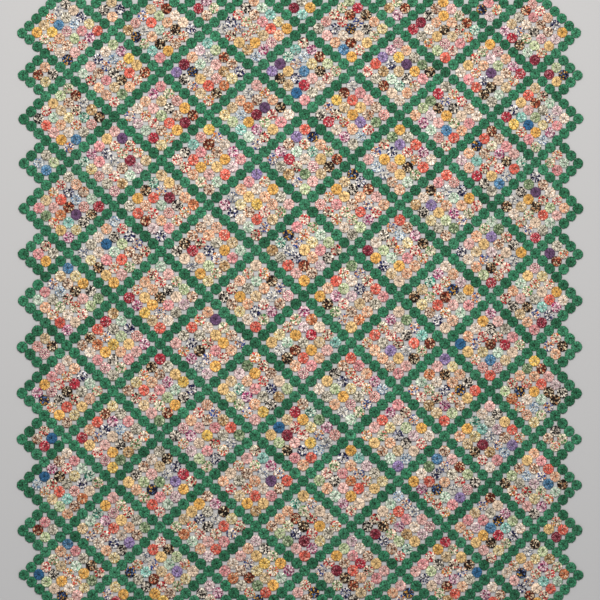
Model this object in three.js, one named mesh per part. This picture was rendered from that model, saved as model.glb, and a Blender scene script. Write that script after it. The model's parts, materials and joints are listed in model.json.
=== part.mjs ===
// A yo-yo coverlet laid out flat, face up: small gathered rounds of cotton, called yo-yos,
// tacked edge to edge on a square grid that is turned 45 degrees. Patchwork blocks of five by
// five print yo-yos lie between single rows of green ones, and green yo-yos edge it in points.
// Millimetres, +Z up, +Y towards the head of the bed, the origin under the coverlet's middle.
import * as THREE from 'three';

// Driving dimensions
const ROUND = 38; // finished diameter of a yo-yo, which is also the pitch of the grid
const THICKNESS = 5; // a gathered yo-yo as it lies, two layers and their pleats
const GAP = 0.3; // between one sewn length and the next
const BLOCK = 6; // yo-yos from one green row to the next
const ACROSS = 72; // half pitches from the leftmost points to the rightmost, centre to centre
const DOWN = 84; // half pitches from the topmost points to the bottom ones
const ARC_STEPS = 3; // straight steps in a quarter of an outer yo-yo's rim

// How the hand-sewn grid really lies, in mm from an even one
const ROW_PACKING = 0.97; // rows lie a little closer together than columns
const MIDDLE_WIDENS = 37; // the middle columns are wider than the side ones
const SIDES_DRIFT = 13; // both sides sit to the left of their even place
const LEAN = 12; // the columns lean one way in the middle
const LEAN_RETURNS = 22; // and the other way near the two ends
const MIDDLE_LENGTHENS = 36; // the middle rows are further apart than the end ones
const TOP_PACKED = 16; // the rows near the head lie closest together
const ROWS_BOW = 15; // the rows hang lower at the two sides

// Materials of the source
const GREEN = { color: '#237a4c', roughness: 0.92, metalness: 0 };
const PRINT = { color: '#d8c0ac', roughness: 0.92, metalness: 0 };

// Places on the grid: i and j count yo-yos along its two diagonals. A place may be a fraction.
const halfWidth = (ROUND * Math.SQRT1_2 * ACROSS) / 2;
const halfLength = (ROUND * Math.SQRT1_2 * DOWN * ROW_PACKING) / 2;
const columnOf = (i, j) => i - j + BLOCK;
const rowOf = (i, j) => i + j;

function lie([i, j]) {
  const across = (2 * columnOf(i, j)) / ACROSS - 1;
  const down = (2 * rowOf(i, j)) / DOWN - 1;
  const x =
    halfWidth * across +
    MIDDLE_WIDENS * (across - across ** 3) -
    SIDES_DRIFT * across ** 2 -
    LEAN * down +
    LEAN_RETURNS * down ** 3;
  const y =
    halfLength * down +
    MIDDLE_LENGTHENS * (down - down ** 3) +
    TOP_PACKED * down ** 2 +
    ROWS_BOW * across ** 2;
  return new THREE.Vector2(x, -y);
}

// The coverlet's outline: a point every BLOCK half pitches, and a slanted cut at each corner
const fromPoint = (place) => Math.abs(place - BLOCK * Math.round(place / BLOCK));

function isInside(i, j) {
  const column = columnOf(i, j);
  const row = rowOf(i, j);
  const fromSide = Math.min(column, ACROSS - column);
  const fromEnd = Math.min(row, DOWN - row);
  if (fromSide < BLOCK && fromEnd < BLOCK) return fromSide + fromEnd >= BLOCK;
  return fromSide >= fromPoint(row) && fromEnd >= fromPoint(column);
}

function isEdging(i, j) {
  for (const di of [-1, 0, 1]) {
    for (const dj of [-1, 0, 1]) {
      if (!isInside(i + di, j + dj)) return true;
    }
  }
  return false;
}

// Each sewn length takes its own yo-yos: the edging of one side, a long sash or a strip of blocks
const numbered = (word, number) => `${word}_${String(number).padStart(2, '0')}`;

function lengthOf(i, j) {
  if (!isInside(i, j)) return null;
  if (isEdging(i, j)) {
    if (columnOf(i, j) < BLOCK) return 'edging_left';
    if (columnOf(i, j) > ACROSS - BLOCK) return 'edging_right';
    return rowOf(i, j) < DOWN / 2 ? 'edging_top' : 'edging_bottom';
  }
  if (i % BLOCK === 0) return numbered('long_sash', i / BLOCK);
  return numbered('block_strip', Math.ceil(i / BLOCK));
}

// A grid corner or a mid-edge, drawn back half a gap from the yo-yos of other lengths round it
function drawnBack([i, j], around, name) {
  const pull = [0, 0];
  for (const [di, dj] of around) {
    const owner = lengthOf(i + di, j + dj);
    if (owner === null) continue;
    const towards = owner === name ? 1 : -1;
    pull[0] += towards * di;
    pull[1] += towards * dj;
  }
  const step = GAP / 2 / ROUND;
  return [i + Math.sign(pull[0]) * step, j + Math.sign(pull[1]) * step];
}

const HALF = 0.5;
const AROUND_CORNER = [[-HALF, -HALF], [HALF, -HALF], [HALF, HALF], [-HALF, HALF]];
const AROUND_EDGE_I = [[-HALF, 0], [HALF, 0]];
const AROUND_EDGE_J = [[0, -HALF], [0, HALF]];

// One yo-yo's outline in grid places: square where it meets others, round where it is free
function outlineOf(i, j, name) {
  const points = [];
  for (const [qi, qj] of AROUND_CORNER) {
    const corner = [i + qi, j + qj];
    const enclosed = AROUND_CORNER.every(([di, dj]) => isInside(corner[0] + di, corner[1] + dj));
    if (enclosed) {
      points.push(drawnBack(corner, AROUND_CORNER, name));
      continue;
    }
    const onI = drawnBack([i + qi, j], AROUND_EDGE_I, name);
    const onJ = drawnBack([i, j + qj], AROUND_EDGE_J, name);
    const [from, to] = qi * qj > 0 ? [onI, onJ] : [onJ, onI];
    for (let step = 0; step <= ARC_STEPS; step += 1) {
      const turn = (step / ARC_STEPS) * (Math.PI / 2);
      const reach = [Math.cos(turn), Math.sin(turn)];
      points.push([
        i + (from[0] - i) * reach[0] + (to[0] - i) * reach[1],
        j + (from[1] - j) * reach[0] + (to[1] - j) * reach[1],
      ]);
    }
  }
  return points;
}

// The outline of a whole length: its yo-yos' sides, less those that two of them share
const keyOf = ([i, j]) => `${Math.round(i * 1e5)},${Math.round(j * 1e5)}`;

function traceLength(cells, name) {
  const sides = new Map();
  for (const [i, j] of cells) {
    const points = outlineOf(i, j, name);
    points.forEach((point, index) => {
      const next = points[(index + 1) % points.length];
      if (keyOf(point) === keyOf(next)) return;
      const back = `${keyOf(next)}>${keyOf(point)}`;
      if (!sides.delete(back)) sides.set(`${keyOf(point)}>${keyOf(next)}`, [point, next]);
    });
  }
  const nextOf = new Map([...sides.values()].map(([from, to]) => [keyOf(from), to]));
  const loop = [];
  let [[at]] = sides.values();
  while (nextOf.size > 0) {
    loop.push(at);
    const key = keyOf(at);
    at = nextOf.get(key);
    nextOf.delete(key);
  }
  return loop;
}

// A straight side keeps a point where a green row crosses it, so neighbours bend together
function isNeeded(before, at, after) {
  const turn = (at[0] - before[0]) * (after[1] - at[1]) - (at[1] - before[1]) * (after[0] - at[0]);
  if (Math.abs(turn) > 1e-6) return true;
  const along = Math.abs(after[0] - before[0]) > Math.abs(after[1] - before[1]) ? at[0] : at[1];
  return Math.round(along - HALF) % BLOCK === 0;
}

function makeLength(name, cells, finish) {
  const loop = traceLength(cells, name);
  const kept = loop.filter((at, n) => {
    const before = loop[(n + loop.length - 1) % loop.length];
    return isNeeded(before, at, loop[(n + 1) % loop.length]);
  });
  const shape = new THREE.Shape(kept.map(lie));
  const sheet = new THREE.ExtrudeGeometry(shape, { depth: THICKNESS, bevelEnabled: false });
  const mesh = new THREE.Mesh(sheet, new THREE.MeshStandardMaterial(finish));
  mesh.name = name;
  return mesh;
}

// Deal every yo-yo of the coverlet to its length
const lengths = new Map();
for (let i = 0; i <= (ACROSS + DOWN) / 2 - BLOCK / 2; i += 1) {
  for (let row = 0; row <= DOWN; row += 1) {
    const j = row - i;
    const name = lengthOf(i, j);
    if (name === null) continue;
    if (!lengths.has(name)) lengths.set(name, []);
    lengths.get(name).push([i, j]);
  }
}

const coverlet = new THREE.Group();
for (const [name, cells] of [...lengths].sort()) {
  coverlet.add(makeLength(name, cells, name.startsWith('block') ? PRINT : GREEN));
}

// The middle of the whole outline goes over the origin
const middle = new THREE.Box3().setFromObject(coverlet).getCenter(new THREE.Vector3());
coverlet.position.set(-middle.x, -middle.y, 0);
coverlet.updateMatrixWorld(true);

export default coverlet;
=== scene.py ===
"""A yo-yo coverlet laid out flat, seen from straight above.

Some 2,930 yo-yos, which are circles of dress cotton gathered into flat rounds, are tacked edge to
edge on a square grid that is turned 45 degrees. Blocks of print yo-yos lie between rows of green
ones. Sizes are real ones in millimetres, turned to Blender's metres by MM.
"""

import json
import math
import random
from collections import defaultdict, namedtuple

import bpy
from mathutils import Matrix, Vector

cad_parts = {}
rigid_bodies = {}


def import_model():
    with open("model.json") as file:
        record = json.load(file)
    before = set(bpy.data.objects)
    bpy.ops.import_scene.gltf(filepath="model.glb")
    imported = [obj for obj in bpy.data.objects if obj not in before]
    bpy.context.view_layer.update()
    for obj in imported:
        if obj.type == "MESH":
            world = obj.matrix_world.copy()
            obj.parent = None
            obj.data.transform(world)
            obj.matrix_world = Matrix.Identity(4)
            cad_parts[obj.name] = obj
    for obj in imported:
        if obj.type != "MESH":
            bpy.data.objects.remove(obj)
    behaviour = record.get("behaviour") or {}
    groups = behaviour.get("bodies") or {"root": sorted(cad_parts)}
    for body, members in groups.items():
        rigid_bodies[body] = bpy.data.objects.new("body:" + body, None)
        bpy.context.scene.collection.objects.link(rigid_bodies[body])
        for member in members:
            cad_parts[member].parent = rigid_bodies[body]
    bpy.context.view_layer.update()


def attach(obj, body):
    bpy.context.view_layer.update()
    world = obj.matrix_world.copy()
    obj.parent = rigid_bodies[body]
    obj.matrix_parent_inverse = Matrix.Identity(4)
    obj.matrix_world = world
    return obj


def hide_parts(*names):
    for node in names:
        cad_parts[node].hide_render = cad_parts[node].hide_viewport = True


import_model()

MM = 0.001

# The grid, as the coverlet was sewn
ROUND = 38 * MM  # finished diameter of a yo-yo, which is also the pitch
BLOCK = 6  # yo-yos from one green row to the next
ACROSS = 72  # half pitches from the leftmost points to the rightmost
DOWN = 84  # half pitches from the topmost points to the bottom ones

# How the hand-sewn grid really lies, from an even one
ROW_PACKING = 0.97  # rows lie a little closer together than columns
MIDDLE_WIDENS = 37 * MM
SIDES_DRIFT = 13 * MM
LEAN = 12 * MM
LEAN_RETURNS = 22 * MM
MIDDLE_LENGTHENS = 36 * MM
TOP_PACKED = 16 * MM
ROWS_BOW = 15 * MM

HALF_WIDTH = ROUND * math.sqrt(0.5) * ACROSS / 2
HALF_LENGTH = ROUND * math.sqrt(0.5) * DOWN / 2 * ROW_PACKING

# The photograph's frame: the width that it takes in and where its middle lies on the grid
VIEW_WIDTH = 2096 * MM
VIEW_MIDDLE = Vector((-13.6 * MM, -13.3 * MM))


def column_of(i, j):
    return i - j + BLOCK


def row_of(i, j):
    return i + j


def lie(i, j):
    """Where a grid place lies on the floor, before the coverlet is centred."""
    across = 2 * column_of(i, j) / ACROSS - 1
    down = 2 * row_of(i, j) / DOWN - 1
    x = HALF_WIDTH * across + MIDDLE_WIDENS * (across - across**3) - SIDES_DRIFT * across**2
    x += LEAN_RETURNS * down**3 - LEAN * down
    y = HALF_LENGTH * down + MIDDLE_LENGTHENS * (down - down**3) + TOP_PACKED * down**2
    y += ROWS_BOW * across**2
    return Vector((x, -y))


def from_point(place):
    """Half pitches from the nearest point of the zigzag edge."""
    return abs(place - BLOCK * round(place / BLOCK))


def is_inside(i, j):
    column, row = column_of(i, j), row_of(i, j)
    from_side = min(column, ACROSS - column)
    from_end = min(row, DOWN - row)
    if from_side < BLOCK and from_end < BLOCK:
        return from_side + from_end >= BLOCK
    return from_side >= from_point(row) and from_end >= from_point(column)


def is_edging(i, j):
    steps = (-1, 0, 1)
    return any(not is_inside(i + di, j + dj) for di in steps for dj in steps)


def length_of(i, j):
    """The sewn length, which is the CAD node, that a yo-yo belongs to."""
    if is_edging(i, j):
        if column_of(i, j) < BLOCK:
            return "edging_left"
        if column_of(i, j) > ACROSS - BLOCK:
            return "edging_right"
        return "edging_top" if row_of(i, j) < DOWN / 2 else "edging_bottom"
    if i % BLOCK == 0:
        return f"long_sash_{i // BLOCK:02d}"
    return f"block_strip_{math.ceil(i / BLOCK):02d}"


def every_yoyo():
    last = (ACROSS + DOWN - BLOCK) // 2
    for i in range(last + 1):
        for row in range(DOWN + 1):
            if is_inside(i, row - i):
                yield i, row - i


def grid_middle():
    """The middle of the outermost yo-yos, which goes over the origin."""
    places = [lie(i, j) for i, j in every_yoyo() if is_edging(i, j)]
    xs = [place.x for place in places]
    ys = [place.y for place in places]
    return Vector(((min(xs) + max(xs)) / 2, (min(ys) + max(ys)) / 2))


MIDDLE = grid_middle()

# Dress cottons


def linear(hex_colour):
    """An sRGB hex colour as linear red, green, blue and alpha."""
    levels = [int(hex_colour[n : n + 2], 16) / 255 for n in (1, 3, 5)]
    curved = [v / 12.92 if v <= 0.04045 else ((v + 0.055) / 1.055) ** 2.4 for v in levels]
    return (*curved, 1.0)


# Whether a cotton's figures are printed flowers and spots, or woven or printed bands
FIGURES, STRIPES, CHECKS = range(3)
NO_FIGURES = -0.2

# ground: the cloth's own colour. flower, bud and leaf: the colours printed on it.
# spacing: mm between figures. cover: how far each reaches, as a share of the spacing.
# strew: 0 where figures stand in rows and 1 where they are scattered.
# often: how many of every 32 print yo-yos it gives.
Cotton = namedtuple("Cotton", "ground flower bud leaf kind spacing cover strew often")


def plain(colour, often):
    """A cotton with nothing printed on it."""
    return Cotton(colour, colour, colour, colour, FIGURES, 8.0, NO_FIGURES, 1.0, often)


PRINTS = (
    Cotton("#f7b950", "#fcd88a", "#df8c2c", "#f8c76a", FIGURES, 8.0, 0.30, 1.0, 1.4),
    plain("#f8d08a", 1.0),
    Cotton("#f8cb50", "#fceeb4", "#e2912f", "#f9da7c", FIGURES, 6.0, 0.28, 0.2, 0.4),
    Cotton("#f6e6b4", "#cc9c44", "#fdf8e4", "#a8aa60", FIGURES, 8.0, 0.34, 1.0, 0.8),
    Cotton("#f2a0a4", "#fcdcd6", "#db5f78", "#f6b9b8", FIGURES, 7.0, 0.34, 1.0, 1.2),
    Cotton("#f6bfb9", "#fdeae4", "#e28a8c", "#f9d0ca", FIGURES, 6.0, 0.30, 0.2, 1.0),
    Cotton("#f0624e", "#fdcbb8", "#cb3932", "#f58f79", FIGURES, 8.0, 0.34, 1.0, 1.2),
    Cotton("#c01838", "#fbd0ce", "#8c0d24", "#cf4a60", FIGURES, 7.0, 0.32, 0.5, 0.3),
    Cotton("#811430", "#e79aa6", "#5f0a20", "#a63e54", FIGURES, 5.5, 0.28, 0.2, 0.2),
    Cotton("#faeedd", "#dc1424", "#b8182c", "#eea797", FIGURES, 12.0, 0.38, 1.0, 1.1),
    Cotton("#f5e6cf", "#d11521", "#141113", "#8c9c76", FIGURES, 10.0, 0.42, 1.0, 0.9),
    Cotton("#712817", "#f4d6b0", "#df6c42", "#2b110c", FIGURES, 9.0, 0.40, 1.0, 0.6),
    Cotton("#d27848", "#f8dcb8", "#8b3519", "#e59b62", FIGURES, 8.0, 0.36, 1.0, 0.3),
    Cotton("#cda56f", "#f7e6c5", "#6b4426", "#b08a55", FIGURES, 9.0, 0.38, 1.0, 0.35),
    Cotton("#e8cda0", "#fbf1da", "#a07a4a", "#cda76e", FIGURES, 7.0, 0.34, 1.0, 0.8),
    Cotton("#17100d", "#f6e4c0", "#c08a5a", "#4a3026", FIGURES, 9.0, 0.40, 1.0, 0.8),
    Cotton("#f9f0e0", "#0c0a0f", "#1a181e", "#87827d", FIGURES, 10.0, 0.46, 1.0, 0.9),
    Cotton("#fbf8f4", "#0d1142", "#1a2462", "#848fb8", FIGURES, 11.0, 0.46, 1.0, 0.9),
    Cotton("#10132a", "#e8b03e", "#4780c2", "#2a3d70", FIGURES, 8.0, 0.38, 1.0, 0.4),
    plain("#2e6ea0", 0.12),
    Cotton("#4587b8", "#a4c6de", "#23568a", "#6fa2c8", FIGURES, 6.0, 0.30, 0.2, 0.25),
    Cotton("#e6edee", "#4079b2", "#7fa9cf", "#b5cbdc", FIGURES, 8.0, 0.36, 1.0, 0.4),
    plain("#70517b", 0.15),
    Cotton("#9580ba", "#d2c4e4", "#6f559a", "#a994cb", FIGURES, 6.0, 0.28, 0.3, 0.3),
    Cotton("#f5dde4", "#b32d70", "#6f2a60", "#d88cb0", FIGURES, 10.0, 0.40, 1.0, 0.9),
    Cotton("#8cd0c4", "#e8f8f6", "#2b9a90", "#9fdcd4", FIGURES, 7.0, 0.36, 1.0, 0.35),
    Cotton("#e4f2e4", "#2aa088", "#0f5c4c", "#7fcbb4", FIGURES, 10.0, 0.40, 1.0, 0.4),
    Cotton("#dff0de", "#7ab896", "#f6faf2", "#aed6bc", FIGURES, 8.0, 0.36, 1.0, 0.9),
    Cotton("#92ac82", "#456a44", "#d6e2c0", "#6a8c5e", FIGURES, 8.0, 0.40, 1.0, 0.35),
    Cotton("#dbe6bc", "#76a35e", "#f6fae2", "#a9c585", FIGURES, 8.0, 0.34, 1.0, 0.8),
    Cotton("#e6dfcc", "#6c6a5c", "#faf5e6", "#9c9684", FIGURES, 8.0, 0.44, 1.0, 1.3),
    Cotton("#e4e2da", "#5a6a8c", "#f8f5ee", "#9aa0ac", FIGURES, 9.0, 0.42, 1.0, 0.6),
    Cotton("#f3dede", "#b07b9c", "#fcf5f4", "#d8aebc", FIGURES, 8.0, 0.34, 1.0, 0.6),
    Cotton("#f9cda8", "#e6885e", "#fdeddc", "#efb08a", FIGURES, 8.0, 0.34, 1.0, 1.7),
    plain("#fae0c6", 0.6),
    Cotton("#fbead8", "#d8372f", "#e8952a", "#4f9450", FIGURES, 11.0, 0.38, 1.0, 1.7),
    Cotton("#fbeedf", "#2c4c9c", "#e2862e", "#8090b0", FIGURES, 11.0, 0.40, 1.0, 1.1),
    Cotton("#fbf0d8", "#3c8a40", "#e98072", "#92b87a", FIGURES, 10.0, 0.38, 1.0, 1.1),
    Cotton("#fae6d0", "#6e3a28", "#cd8658", "#b08e74", FIGURES, 9.0, 0.42, 1.0, 1.5),
    Cotton("#fdf0e2", "#e6c2a2", "#fffaf2", "#d2b496", FIGURES, 8.0, 0.36, 1.0, 1.2),
    Cotton("#f9edde", "#c55f83", "#c55f83", "#5a80b4", STRIPES, 6.0, NO_FIGURES, 1.0, 0.4),
    Cotton("#f9eeda", "#dc7434", "#dc7434", "#dc7434", CHECKS, 6.0, NO_FIGURES, 1.0, 0.3),
    Cotton("#faf0e4", "#cf333d", "#cf333d", "#cf333d", CHECKS, 6.0, NO_FIGURES, 1.0, 0.3),
)

# Greens of one solid cotton, bought and washed at different times
GREENS = ("#2f8460", "#348763", "#2c7e5b", "#398c68", "#277452")


def main():
    yoyos = deal_yoyos()
    shapes = make_yoyo_shapes()
    green = make_green_cotton()
    prints = make_print_cotton()
    tree = make_laying_tree()
    for name in sorted(yoyos):
        if name.startswith("print"):
            lay_piece(name, yoyos[name], tree, shapes, prints)
        else:
            lay_piece(name, yoyos[name], tree, shapes, green)
    remove_shapes(shapes)
    make_floor()
    make_lights()
    make_camera()


def remove_shapes(shapes):
    for shape in list(shapes.objects):
        bpy.data.objects.remove(shape)
    bpy.data.collections.remove(shapes)


# Dealing the yo-yos to their pieces

Yoyo = namedtuple("Yoyo", "place size cotton fading cut_from")

SEED = 482
CLOTH_TO_CUT_FROM = 900.0  # mm of cloth over which the circles were cut
PLACE_WANDERS = 0.5 * MM
SIZE_WANDERS = 0.015  # of its size
FADING = (0.9, 1.14)  # how light a yo-yo is beside its cotton's usual colour
FADES_INSIDE = 0.1  # how much lighter the prints are well inside than at the edge
WELL_INSIDE = 26  # half pitches from the edge
DARK_AT_EDGE = 2.0  # how often dark prints are dealt at the edge, beside their usual share
DARK_INSIDE = 0.7  # and well inside
DARK = 0.28  # a ground is dark if its linear red, green and blue have a lower mean


def deal_yoyos():
    """Lists of yo-yos by piece name. Each block gets its own shuffled hand of prints."""
    rng = random.Random(SEED)
    pieces = defaultdict(list)
    hands = {}
    for i, j in every_yoyo():
        wander = Vector((rng.gauss(0, PLACE_WANDERS), rng.gauss(0, PLACE_WANDERS)))
        place = lie(i, j) - MIDDLE + wander
        size = local_pitch(i, j) / ROUND * rng.gauss(1.0, SIZE_WANDERS)
        fading = rng.uniform(*FADING)
        is_green = i % BLOCK == 0 or j % BLOCK == 0 or is_edging(i, j)
        if is_green:
            cotton = plain(rng.choice(GREENS), 0)
        else:
            block = (i // BLOCK, j // BLOCK)
            if block not in hands:
                hands[block] = deal_hand(rng, depth_of(i, j))
            cotton = hands[block].pop()
            fading *= 1 + FADES_INSIDE * (depth_of(i, j) - 0.5)
        cut_from = (rng.uniform(0, CLOTH_TO_CUT_FROM), rng.uniform(0, CLOTH_TO_CUT_FROM), 0.0)
        yoyo = Yoyo(place, size, cotton, fading, cut_from)
        pieces[piece_of(i, j, is_green)].append(yoyo)
    return pieces


def depth_of(i, j):
    """How far a place lies from the coverlet's edge: 0 at the edge and 1 well inside."""
    column, row = column_of(i, j), row_of(i, j)
    return min(1.0, min(column, ACROSS - column, row, DOWN - row) / WELL_INSIDE)


def piece_of(i, j, is_green):
    """Print yo-yos and the green ones of a strip's short rows are two pieces of one strip."""
    length = length_of(i, j)
    if not length.startswith("block_strip"):
        return length.replace("edging", "edging_rounds").replace("long_sash", "long_sash_rounds")
    return length.replace("block_strip", "short_sash_rounds" if is_green else "print_rounds")


def node_of(piece):
    for word, node in (
        ("edging_rounds", "edging"),
        ("long_sash_rounds", "long_sash"),
        ("short_sash_rounds", "block_strip"),
        ("print_rounds", "block_strip"),
    ):
        if piece.startswith(word):
            return piece.replace(word, node)
    raise ValueError(piece)


def deal_hand(rng, depth):
    """Prints enough for one block, in the coverlet's mix, with more dark ones near its edge."""
    dark_share = DARK_AT_EDGE + (DARK_INSIDE - DARK_AT_EDGE) * depth
    often = [cotton.often * (dark_share if is_dark(cotton) else 1.0) for cotton in PRINTS]
    hand = []
    for cotton, times in zip(PRINTS, often):
        whole = int(times)
        more = 1 if rng.random() < times - whole else 0
        hand += [cotton] * (whole + more)
    while len(hand) < (BLOCK - 1) ** 2:
        hand.append(rng.choices(PRINTS, often)[0])
    rng.shuffle(hand)
    return hand


def is_dark(cotton):
    return sum(linear(cotton.ground)[:3]) / 3 < DARK


def local_pitch(i, j):
    """How far apart the yo-yos lie here, as the mean of the two ways that they are tacked."""
    along_i = (lie(i + 0.5, j) - lie(i - 0.5, j)).length
    along_j = (lie(i, j + 0.5) - lie(i, j - 0.5)).length
    return (along_i + along_j) / 2


# The yo-yo's form

PLEATS = 10
RADIUS = ROUND / 2
SHAPE_COUNT = 12
PRESSED = 19.15  # mm from the middle to where a neighbour is tacked and presses the rim back
STANDS_UP = 1.2  # how far the rim rises for each mm that it is pressed back

# From the bottom of the gathered middle outwards over the pleats, and round the rim to the back.
# radius and height in mm, pleat: how deep its folds are there, cloth: distance from the middle of
# the cut circle, the fold shade: how much painted shade it gets in a valley, and crest: how much
# painted shade it gets on a crest
Ring = namedtuple("Ring", "radius height pleat cloth fold crest")
RINGS = (
    Ring(1.5, 1.2, 0.0, 40.5, 1.0, 1.0),
    Ring(2.5, 4.9, 1.0, 38.0, 0.5, 0.05),
    Ring(16.8, 5.0, 1.3, 24.0, 0.36, 0.0),
    Ring(20.1, 3.0, 1.0, 20.2, 0.25, 0.0),
    Ring(18.2, 0.0, 0.0, 18.0, 0.3, 0.3),
)
VALLEY_DRAWS_IN = 0.5  # how far a fold's rim goes in for each mm that it dips
UNEVEN_TURN = 0.3  # of the angle from one fold to the next
UNEVEN_DEPTH = (0.4, 1.5)  # of a fold's usual depth
UNEVEN_HEIGHT = 0.35  # mm
UNEVEN_REACH = 0.035  # of its radius
OVAL = 0.02  # how much longer or shorter it is one way than round


def make_yoyo_shapes():
    """A collection of slightly different yo-yos, each a closed mesh with its cloth unrolled."""
    shapes = bpy.data.collections.new("yoyo_shapes")
    rng = random.Random(SEED + 1)
    for number in range(SHAPE_COUNT):
        mesh = make_yoyo_mesh(f"yoyo_shape_{number}", rng)
        shapes.objects.link(bpy.data.objects.new(mesh.name, mesh))
    return shapes


def make_yoyo_mesh(name, rng):
    sides = 2 * PLEATS
    even = 2 * math.pi / sides
    angles = [even * (side + rng.uniform(-UNEVEN_TURN, UNEVEN_TURN)) for side in range(sides)]
    depths = [rng.uniform(*UNEVEN_DEPTH) for _ in range(sides)]
    reaches = [1 + rng.uniform(-UNEVEN_REACH, UNEVEN_REACH) for _ in range(sides)]
    oval = rng.uniform(-OVAL, OVAL)
    verts, fold_shades, around = [], [], []
    for ring in RINGS:
        for side, angle in enumerate(angles):
            in_valley = side % 2 == 0
            dip = ring.pleat * depths[side] * (0.5 if in_valley else -0.5)
            free = ring.radius - VALLEY_DRAWS_IN * dip
            free *= reaches[side] + oval * math.cos(2 * angle)
            reach = min(free, PRESSED / math.cos(from_neighbour(angle)))
            height = ring.height - dip
            if ring.pleat:
                height += rng.uniform(-UNEVEN_HEIGHT, UNEVEN_HEIGHT) + STANDS_UP * (free - reach)
            direction = (math.cos(angle), math.sin(angle))
            verts.append((reach * MM * direction[0], reach * MM * direction[1], height * MM))
            # Painted shade: deep in the valleys, little on the crests, nearly black in the
            # gathered middle
            fold_shades.append(min(1.0, ring.fold * depths[side]) if in_valley else ring.crest)
            around.append((*direction, ring.radius * MM / RADIUS))

    last = len(RINGS) - 1
    hole_floor = tuple(range(sides))
    back = tuple(last * sides + side for side in reversed(range(sides)))
    faces = [hole_floor, back]
    cloth = [verts[corner][:2] for face in faces for corner in face]
    for side in range(sides):
        after = (side + 1) % sides
        crest = angles[side if side % 2 else after]
        for inner in range(last):
            corners = ((inner, side), (inner + 1, side), (inner + 1, after), (inner, after))
            faces.append(tuple(ring * sides + at for ring, at in corners))
            cloth += [unroll_pleat(RINGS[ring], angles[at], crest) for ring, at in corners]
    return closed_mesh(name, verts, faces, cloth, fold_shades, around)


def from_neighbour(angle):
    """The turn from the nearest of the four directions in which a yo-yo is tacked to others."""
    return math.remainder(angle - math.pi / 4, math.pi / 2)


def unroll_pleat(ring, angle, crest):
    """Where a corner of a pleat lies on the cut circle: the print runs true along each pleat."""
    turn = math.remainder(angle - crest, 2 * math.pi)
    out, aside = ring.cloth * MM, turn * ring.radius * MM
    return (
        out * math.cos(crest) - aside * math.sin(crest),
        out * math.sin(crest) + aside * math.cos(crest),
    )


def closed_mesh(name, verts, faces, cloth, fold_shades, around):
    mesh = bpy.data.meshes.new(name)
    mesh.from_pydata(verts, [], faces)
    mesh.uv_layers.new(name="Cloth").data.foreach_set("uv", flat(cloth))
    put(mesh, "fold", "FLOAT", "value", fold_shades)
    put(mesh, "around", "FLOAT_VECTOR", "vector", flat(around))
    mesh.polygons.foreach_set("use_smooth", [True] * len(mesh.polygons))
    mesh.update()
    return mesh


def put(mesh, name, kind, field, values):
    mesh.attributes.new(name, kind, "POINT").data.foreach_set(field, values)


def flat(rows):
    return [value for row in rows for value in row]


# Laying the yo-yos, as Geometry Nodes


def add(tree, kind, inputs=None, **settings):
    """Adds a node with its settings, sets or links its inputs, and gives its outputs."""
    node = tree.nodes.new(kind)
    for key, value in settings.items():
        setattr(node, key, value)
    for key, value in (inputs or {}).items():
        if isinstance(value, bpy.types.NodeSocket):
            tree.links.new(value, node.inputs[key])
        else:
            node.inputs[key].default_value = value
    return node.outputs


TILT = math.radians(2.4)  # most that a yo-yo leans, each way
TWIST = math.radians(3.0)  # most that it is turned out of the grid
QUARTER = math.pi / 2


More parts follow.
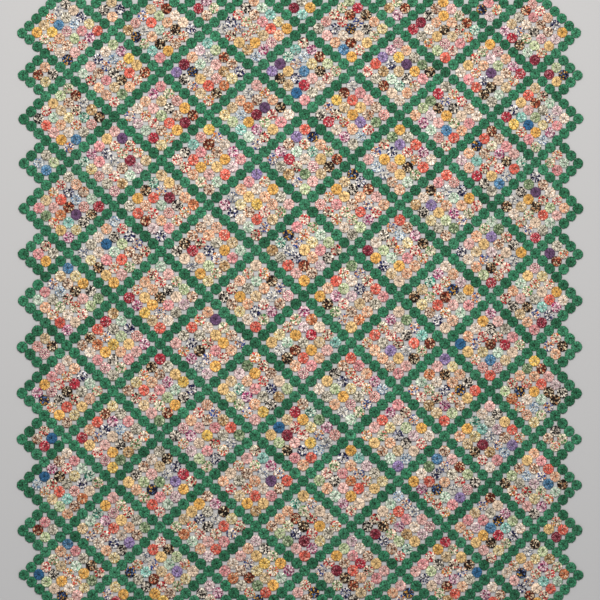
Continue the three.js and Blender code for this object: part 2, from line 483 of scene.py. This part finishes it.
def make_laying_tree():
    """Sets a random yo-yo shape at each point, turned, tilted on to its lower edge and sized."""
    tree = bpy.data.node_groups.new("Lay yo-yos", "GeometryNodeTree")
    tree.is_modifier = True
    sockets = (
        ("Places", "NodeSocketGeometry", None),
        ("Yo-yo shapes", "NodeSocketCollection", None),
        ("Last shape", "NodeSocketInt", SHAPE_COUNT - 1),
        ("Cloth", "NodeSocketMaterial", None),
        ("Yo-yo radius", "NodeSocketFloat", RADIUS),
        ("Tilt", "NodeSocketFloat", TILT),
        ("Twist", "NodeSocketFloat", TWIST),
        ("Turn seed", "NodeSocketInt", SEED),
        ("Shape seed", "NodeSocketInt", SEED),
    )
    for label, kind, value in sockets:
        socket = tree.interface.new_socket(label, in_out="INPUT", socket_type=kind)
        if value is not None:
            socket.default_value = value
    tree.interface.new_socket("Coverlet", in_out="OUTPUT", socket_type="NodeSocketGeometry")

    given = add(tree, "NodeGroupInput")
    shapes = add(
        tree,
        "GeometryNodeCollectionInfo",
        {"Collection": given["Yo-yo shapes"], "Separate Children": True, "Reset Children": True},
    )[0]
    # Random Value has a pair of limits for each kind of value: 0 and 1, vectors; 4 and 5, whole
    which = add(
        tree,
        "FunctionNodeRandomValue",
        {4: 0, 5: given["Last shape"], "Seed": given["Shape seed"]},
        data_type="INT",
    )[2]
    limits = {0: given["Tilt"], 1: given["Tilt"], 2: given["Twist"]}
    most = add(tree, "ShaderNodeCombineXYZ", limits)[0]
    least = add(tree, "ShaderNodeVectorMath", {0: most, "Scale": -1.0}, operation="SCALE")[0]
    askew = add(
        tree,
        "FunctionNodeRandomValue",
        {0: least, 1: most, "Seed": given["Turn seed"]},
        data_type="FLOAT_VECTOR",
    )[0]
    # Its pressed sides face its neighbours, so it turns by whole quarters
    quarters = add(
        tree,
        "FunctionNodeRandomValue",
        {4: 0, 5: 3, "Seed": given["Turn seed"]},
        data_type="INT",
    )[2]
    spin = add(tree, "ShaderNodeMath", {0: quarters, 1: QUARTER}, operation="MULTIPLY")[0]
    upright = add(tree, "ShaderNodeCombineXYZ", {"Z": spin})[0]
    turn = add(tree, "ShaderNodeVectorMath", {0: askew, 1: upright}, operation="ADD")[0]
    size = add(tree, "GeometryNodeInputNamedAttribute", {"Name": "size"}, data_type="FLOAT")[0]
    laid = add(
        tree,
        "GeometryNodeInstanceOnPoints",
        {
            "Points": given["Places"],
            "Instance": shapes,
            "Pick Instance": True,
            "Instance Index": which,
            "Rotation": turn,
            "Scale": size,
        },
    )[0]
    # A tilted yo-yo rests on its lower edge
    lean = add(
        tree,
        "ShaderNodeVectorMath",
        {0: turn, 1: (1.0, 1.0, 0.0)},
        operation="MULTIPLY",
    )[0]
    steepness = add(tree, "ShaderNodeVectorMath", {0: lean}, operation="LENGTH")["Value"]
    lift = add(
        tree,
        "ShaderNodeMath",
        {0: steepness, 1: given["Yo-yo radius"]},
        operation="MULTIPLY",
    )[0]
    up = add(tree, "ShaderNodeCombineXYZ", {"Z": lift})[0]
    raised = add(
        tree,
        "GeometryNodeTranslateInstances",
        {"Instances": laid, "Translation": up, "Local Space": False},
    )[0]
    real = add(tree, "GeometryNodeRealizeInstances", {"Geometry": raised})[0]
    clothed = add(tree, "GeometryNodeSetMaterial", {"Geometry": real, "Material": given["Cloth"]})
    add(tree, "NodeGroupOutput", {"Coverlet": clothed[0]})
    return tree


def lay_piece(name, yoyos, tree, shapes, cloth):
    """One piece of the coverlet: its yo-yos as one plain mesh, attached to the root body in place
    of its CAD node, which is hidden.
    """
    places = bpy.data.meshes.new(f"{name}_places")
    places.from_pydata([(yoyo.place.x, yoyo.place.y, 0.0) for yoyo in yoyos], [], [])
    put(places, "size", "FLOAT", "value", [yoyo.size for yoyo in yoyos])
    for ink in ("ground", "flower", "bud", "leaf"):
        colours = [faded(getattr(yoyo.cotton, ink), yoyo.fading) for yoyo in yoyos]
        put(places, ink, "FLOAT_COLOR", "color", flat(colours))
    figures = [(yoyo.cotton.spacing, yoyo.cotton.cover, yoyo.cotton.strew) for yoyo in yoyos]
    put(places, "figures", "FLOAT_VECTOR", "vector", flat(figures))
    put(places, "kind", "FLOAT", "value", [float(yoyo.cotton.kind) for yoyo in yoyos])
    put(places, "cut_from", "FLOAT_VECTOR", "vector", flat(yoyo.cut_from for yoyo in yoyos))
    maker = bpy.data.objects.new(f"{name}_maker", places)
    bpy.context.collection.objects.link(maker)

    modifier = maker.modifiers.new("Lay yo-yos", "NODES")
    modifier.node_group = tree
    values = {
        "Yo-yo shapes": shapes,
        "Cloth": cloth,
        "Turn seed": SEED + len(yoyos),
        "Shape seed": 2 * SEED + len(yoyos),
    }
    for item in tree.interface.items_tree:
        if item.in_out == "INPUT" and item.name in values:
            modifier[item.identifier] = values[item.name]
    bpy.context.view_layer.update()
    evaluated = maker.evaluated_get(bpy.context.evaluated_depsgraph_get())
    mesh = bpy.data.meshes.new_from_object(evaluated)
    mesh.name = name
    bpy.data.objects.remove(maker)

    piece = bpy.data.objects.new(name, mesh)
    bpy.context.collection.objects.link(piece)
    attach(piece, "root")
    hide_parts(node_of(name))


GREYED = 0.1  # of the way from the new cloth's colour to a grey that is as bright
RED_COUNTS = 0.3  # of a grey's brightness
GREEN_COUNTS = 0.6
BLUE_COUNTS = 0.1


def faded(hex_colour, fading):
    """A cotton's colour after years of washing: a little greyer, and lighter or darker."""
    red, green, blue, alpha = linear(hex_colour)
    grey = RED_COUNTS * red + GREEN_COUNTS * green + BLUE_COUNTS * blue
    washed = [level + GREYED * (grey - level) for level in (red, green, blue)]
    return (*[level * fading for level in washed], alpha)


# Materials

# Threads of dress cotton are 0.35 mm apart. They are drawn at 1.2 mm, because they would not show.
THREAD_SPACING = 1.2
THREAD_RELIEF = -0.4  # mm from a thread's edge to its middle

INK_EDGE = 0.06  # how soft a printed edge is, as a share of the spacing
INK_WANDERS = 1.6  # mm that a printed outline strays from round
INK_TURNS = 0.3  # how often it strays in each mm
LEAVES_CLOSER = 2.1  # leaves to a flower's spacing
LEAF_SHARE = 0.45  # of the places for a leaf, how many have one
FLOWER_SHARE = 0.75  # of the places for a flower or a bud
BUDS_FROM = 0.6  # of the flowers' lots: those above are buds
BAND_EDGE = 0.3  # how soft a band's edge is, as a share of the wave's height
KIND_SLACK = 0.3  # kinds of print are whole numbers, and a mesh may carry them less exactly

FADE_PATCH = 150 * MM  # from one faded patch to the next
PATCH_LIGHT = (0.9, 1.06)  # how light the cloth is in dark patches and in faded ones
CREASES_ROUND = 2.6  # how fast the small creases follow each other round a yo-yo
CREASES_OUT = 0.9  # how fast they change on the way out
CREASE_WIDTH = 0.06  # of the crease noise, to each side of its middle value
CREASE_LIGHT = (0.32, 1.08)  # how light the cloth is in a crease and beside it
CREASE_RELIEF = 4.0  # mm
RUMPLE = 7.0  # mm from one shaded hollow to the next
RUMPLE_LIGHT = (0.48, 1.19)  # how light the cloth is in a hollow and on a hump
RUBBED = 5.0  # mm from one rubbed place of the green cotton to the next
RUBBED_LIGHT = (0.7, 1.3)  # how light the cloth is where it was spared and where it is rubbed
PUCKER = 3.5  # mm from one pucker to the next
# The colour of the painted shade in the deepest folds
DEEPEST_SHADE = (0.10, 0.06, 0.045, 1.0)  # what is left of the light in the deepest folds


def cloth_place(tree):
    """Places on the bolt of cloth, in mm: the yo-yo's unrolled circle, where it was cut from."""
    uv = add(tree, "ShaderNodeUVMap", uv_map="Cloth")[0]
    in_mm = add(tree, "ShaderNodeVectorMath", {0: uv, "Scale": 1 / MM}, operation="SCALE")[0]
    start = add(tree, "ShaderNodeAttribute", attribute_name="cut_from")["Vector"]
    return add(tree, "ShaderNodeVectorMath", {0: in_mm, 1: start}, operation="ADD")[0]


def strayed(tree, cloth):
    """The cloth's places with a small wander, so that no printed outline is a true circle."""
    noise = add(
        tree,
        "ShaderNodeTexNoise",
        {"Vector": cloth, "Scale": INK_TURNS, "Detail": 1.0},
        noise_dimensions="2D",
    )["Color"]
    middle = (0.5, 0.5, 0.5)
    centred = add(tree, "ShaderNodeVectorMath", {0: noise, 1: middle}, operation="SUBTRACT")
    # The noise seldom goes further than a quarter from its middle
    wander = add(
        tree,
        "ShaderNodeVectorMath",
        {0: centred[0], "Scale": 4 * INK_WANDERS},
        operation="SCALE",
    )[0]
    return add(tree, "ShaderNodeVectorMath", {0: cloth, 1: wander}, operation="ADD")[0]


def print_figures(tree, cloth, spacing, cover, strew, share):
    """Where figures are printed, and a random value that is the same all over each of them."""
    scale = add(tree, "ShaderNodeMath", {0: 1.0, 1: spacing}, operation="DIVIDE")[0]
    cells = add(
        tree,
        "ShaderNodeTexVoronoi",
        {"Vector": cloth, "Scale": scale, "Randomness": strew},
        voronoi_dimensions="2D",
    )
    outside = add(tree, "ShaderNodeMath", {0: cover, 1: INK_EDGE}, operation="ADD")[0]
    inside = add(tree, "ShaderNodeMath", {0: cover, 1: INK_EDGE}, operation="SUBTRACT")[0]
    spot = add(
        tree,
        "ShaderNodeMapRange",
        {"Value": cells["Distance"], "From Min": outside, "From Max": inside},
    )[0]
    lots = add(tree, "ShaderNodeSeparateColor", {"Color": cells["Color"]})
    is_printed = add(tree, "ShaderNodeMath", {0: lots["Red"], 1: share}, operation="LESS_THAN")[0]
    printed = add(tree, "ShaderNodeMath", {0: spot, 1: is_printed}, operation="MULTIPLY")[0]
    return printed, lots["Green"]


def bands(tree, cloth, axis, spacing):
    """Soft bands across one way of the cloth, from 0 to 1."""
    along = add(tree, "ShaderNodeSeparateXYZ", {0: cloth})[axis]
    steps = add(tree, "ShaderNodeMath", {0: along, 1: spacing}, operation="DIVIDE")[0]
    turned = add(tree, "ShaderNodeMath", {0: steps, 1: 2 * math.pi}, operation="MULTIPLY")[0]
    wave = add(tree, "ShaderNodeMath", {0: turned}, operation="SINE")[0]
    return add(
        tree,
        "ShaderNodeMapRange",
        {"Value": wave, "From Min": -BAND_EDGE, "From Max": BAND_EDGE},
    )[0]


def draw_print(tree, cloth):
    """The printed cotton's colour, from the colours and the figures that a yo-yo carries."""
    colour, flower, bud, leaf = (
        add(tree, "ShaderNodeAttribute", attribute_name=name)["Color"]
        for name in ("ground", "flower", "bud", "leaf")
    )
    figures = add(tree, "ShaderNodeAttribute", attribute_name="figures")["Vector"]
    spacing, cover, strew = add(tree, "ShaderNodeSeparateXYZ", {0: figures})
    kind = add(tree, "ShaderNodeAttribute", attribute_name="kind")["Fac"]
    wandering = strayed(tree, cloth)

    closer = add(tree, "ShaderNodeMath", {0: spacing, 1: LEAVES_CLOSER}, operation="DIVIDE")[0]
    leaves, _ = print_figures(tree, wandering, closer, cover, strew, LEAF_SHARE)
    flowers, lot = print_figures(tree, wandering, spacing, cover, strew, FLOWER_SHARE)
    is_bud = add(tree, "ShaderNodeMath", {0: lot, 1: BUDS_FROM}, operation="GREATER_THAN")[0]
    buds = add(tree, "ShaderNodeMath", {0: flowers, 1: is_bud}, operation="MULTIPLY")[0]

    along_warp = bands(tree, cloth, "X", spacing)
    along_weft = bands(tree, cloth, "Y", spacing)
    both = add(tree, "ShaderNodeMath", {0: along_warp, 1: along_weft}, operation="ADD")[0]
    crossed = add(tree, "ShaderNodeMath", {0: both, 1: 0.5}, operation="MULTIPLY")[0]
    banded = []
    for number, band in ((STRIPES, along_warp), (CHECKS, crossed)):
        alike = {0: kind, 1: number, 2: KIND_SLACK}
        same = add(tree, "ShaderNodeMath", alike, operation="COMPARE")[0]
        banded.append(add(tree, "ShaderNodeMath", {0: same, 1: band}, operation="MULTIPLY")[0])

    for ink, where in (
        (leaf, leaves),
        (flower, flowers),
        (bud, buds),
        (flower, banded[0]),
        (flower, banded[1]),
    ):
        colour = add(tree, "ShaderNodeMix", {0: where, 6: colour, 7: ink}, data_type="RGBA")[2]
    return colour


def lit_by(tree, pattern, span, light):
    """How light the cloth is where a pattern goes from one end of its span to the other."""
    limits = {"From Min": span[0], "From Max": span[1], "To Min": light[0], "To Max": light[1]}
    return add(tree, "ShaderNodeMapRange", {"Value": pattern, **limits})[0]


def make_cotton(name, colour_maker):
    """Plain-woven dress cotton: matt, slightly fuzzy, with painted shade where the pleats go in.
    """
    material = bpy.data.materials.new(name)
    material.use_nodes = True
    tree = material.node_tree
    tree.nodes.clear()
    cloth = cloth_place(tree)
    colour = colour_maker(tree, cloth)

    # Years of washing have darkened or faded it unevenly, over a hand's breadth or so
    place = add(tree, "ShaderNodeTexCoord")["Object"]
    patches = add(
        tree,
        "ShaderNodeTexNoise",
        {"Vector": place, "Scale": 1 / FADE_PATCH, "Detail": 3.0},
    )[0]
    washed = lit_by(tree, patches, (0.3, 0.7), PATCH_LIGHT)

    # Painted shade along small creases, which run from the gathered middle to the rim, in each
    # yo-yo in its own way
    around = add(tree, "ShaderNodeAttribute", attribute_name="around")["Vector"]
    start = add(tree, "ShaderNodeAttribute", attribute_name="cut_from")["Vector"]
    crease_place = add(
        tree,
        "ShaderNodeVectorMath",
        {0: around, 1: (CREASES_ROUND, CREASES_ROUND, CREASES_OUT), 2: start},
        operation="MULTIPLY_ADD",
    )[0]
    crease = add(
        tree,
        "ShaderNodeTexNoise",
        {"Vector": crease_place, "Scale": 1.0, "Detail": 2.5, "Roughness": 0.65},
    )[0]
    offset = add(tree, "ShaderNodeMath", {0: crease, 1: 0.5}, operation="SUBTRACT")[0]
    from_line = add(tree, "ShaderNodeMath", {0: offset}, operation="ABSOLUTE")[0]
    # Painted shade along the middle line of each crease
    crease_shade = lit_by(tree, from_line, (0.0, CREASE_WIDTH), CREASE_LIGHT)
    rumples = add(
        tree,
        "ShaderNodeTexNoise",
        {"Vector": cloth, "Scale": 1 / RUMPLE, "Detail": 2.0, "Roughness": 0.6},
        noise_dimensions="2D",
    )[0]
    # Painted shade in the rumples' hollows and painted highlight on their humps
    rumple_shade_and_highlight = lit_by(tree, rumples, (0.34, 0.59), RUMPLE_LIGHT)
    shaded = add(tree, "ShaderNodeMath", {0: crease_shade, 1: rumple_shade_and_highlight}, operation="MULTIPLY")[0]
    light = add(tree, "ShaderNodeMath", {0: washed, 1: shaded}, operation="MULTIPLY")[0]
    colour = add(tree, "ShaderNodeVectorMath", {0: colour, "Scale": light}, operation="SCALE")[0]

    # Painted shade in the gathers, darkest in their valleys and in the gathered middle, and a
    # little under the rim
    fold = add(tree, "ShaderNodeAttribute", attribute_name="fold")["Fac"]
    colour = add(
        tree,
        "ShaderNodeMix",
        {0: fold, 6: colour, 7: DEEPEST_SHADE},
        data_type="RGBA",
        blend_type="MULTIPLY",
    )[2]

    # Threads both ways, and the puckers that the gathering thread draws in
    threads = add(
        tree,
        "ShaderNodeTexVoronoi",
        {"Vector": cloth, "Scale": 1 / THREAD_SPACING, "Randomness": 0.0},
        voronoi_dimensions="2D",
        distance="CHEBYCHEV",
    )["Distance"]
    puckers = add(
        tree,
        "ShaderNodeTexNoise",
        {"Vector": cloth, "Scale": 1 / PUCKER, "Detail": 2.0},
        noise_dimensions="2D",
    )[0]
    gathers = add(
        tree,
        "ShaderNodeMath",
        {0: crease, 1: CREASE_RELIEF, 2: puckers},
        operation="MULTIPLY_ADD",
    )[0]
    relief = add(
        tree,
        "ShaderNodeMath",
        {0: threads, 1: THREAD_RELIEF, 2: gathers},
        operation="MULTIPLY_ADD",
    )[0]
    bump = add(tree, "ShaderNodeBump", {"Strength": 0.7, "Distance": MM, "Height": relief})[0]
    rough = add(
        tree,
        "ShaderNodeMapRange",
        {"Value": puckers, "To Min": 0.85, "To Max": 1.0},
    )[0]
    shader = add(
        tree,
        "ShaderNodeBsdfPrincipled",
        {
            "Base Color": colour,
            "Roughness": rough,
            "IOR": 1.47,
            "Specular IOR Level": 0.2,
            "Sheen Weight": 0.08,
            "Sheen Roughness": 0.5,
            "Normal": bump,
        },
    )[0]
    add(tree, "ShaderNodeOutputMaterial", {"Surface": shader})
    return material


def make_green_cotton():
    """Solid green cotton, each yo-yo in its own shade of it, paler where it has rubbed."""

    def own_green(tree, cloth):
        own = add(tree, "ShaderNodeAttribute", attribute_name="ground")["Color"]
        rubs = add(
            tree,
            "ShaderNodeTexNoise",
            {"Vector": cloth, "Scale": 1 / RUBBED, "Detail": 1.0},
            noise_dimensions="2D",
        )[0]
        light = lit_by(tree, rubs, (0.35, 0.65), RUBBED_LIGHT)
        return add(tree, "ShaderNodeVectorMath", {0: own, "Scale": light}, operation="SCALE")[0]

    return make_cotton("green_dress_cotton", own_green)


def make_print_cotton():
    """Printed and plain scraps of dress cotton and feed sack."""
    return make_cotton("printed_dress_cotton", draw_print)


# Floor, light and camera

FLOOR_SIDE = 30.0
CAMERA_HEIGHT = 9.0
SENSOR = 36.0
LAMP_PLACE = Vector((0.0, 2.3, 4.2))
LAMP_SIZE = (3.0, 2.4)
LAMP_WATTS = 214.0
AMBIENT = 0.6


def make_floor():
    half = FLOOR_SIDE / 2
    mesh = bpy.data.meshes.new("floor")
    corners = [(-half, -half, 0), (half, -half, 0), (half, half, 0), (-half, half, 0)]
    mesh.from_pydata(corners, [], [(0, 1, 2, 3)])
    floor = bpy.data.objects.new("floor", mesh)
    bpy.context.collection.objects.link(floor)
    material = bpy.data.materials.new("pale_floor")
    material.use_nodes = True
    shader = material.node_tree.nodes["Principled BSDF"]
    shader.inputs["Base Color"].default_value = linear("#b0b3b8")
    shader.inputs["Roughness"].default_value = 0.9
    mesh.materials.append(material)


def make_lights():
    world = bpy.data.worlds.new("studio")
    world.use_nodes = True
    background = world.node_tree.nodes["Background"]
    background.inputs["Color"].default_value = linear("#f6f4f2")
    background.inputs["Strength"].default_value = AMBIENT
    bpy.context.scene.world = world
    lamp = bpy.data.lights.new("head_light", "AREA")
    lamp.shape = "RECTANGLE"
    lamp.size, lamp.size_y = LAMP_SIZE
    lamp.energy = LAMP_WATTS
    lamp.color = linear("#fff6ea")[:3]
    light = bpy.data.objects.new("head_light", lamp)
    light.location = LAMP_PLACE
    light.rotation_euler = (-LAMP_PLACE).to_track_quat("-Z", "Y").to_euler()
    bpy.context.collection.objects.link(light)


def make_camera():
    """Straight down, with the photograph's framing: the topmost and bottom points are cropped."""
    data = bpy.data.cameras.new("camera")
    data.sensor_width = SENSOR
    data.lens = SENSOR * CAMERA_HEIGHT / VIEW_WIDTH
    data.clip_end = 100.0
    camera = bpy.data.objects.new("camera", data)
    over = VIEW_MIDDLE - MIDDLE
    camera.location = (over.x, over.y, CAMERA_HEIGHT)
    bpy.context.collection.objects.link(camera)
    bpy.context.scene.camera = camera
    bpy.context.scene.view_settings.view_transform = "Standard"


main()
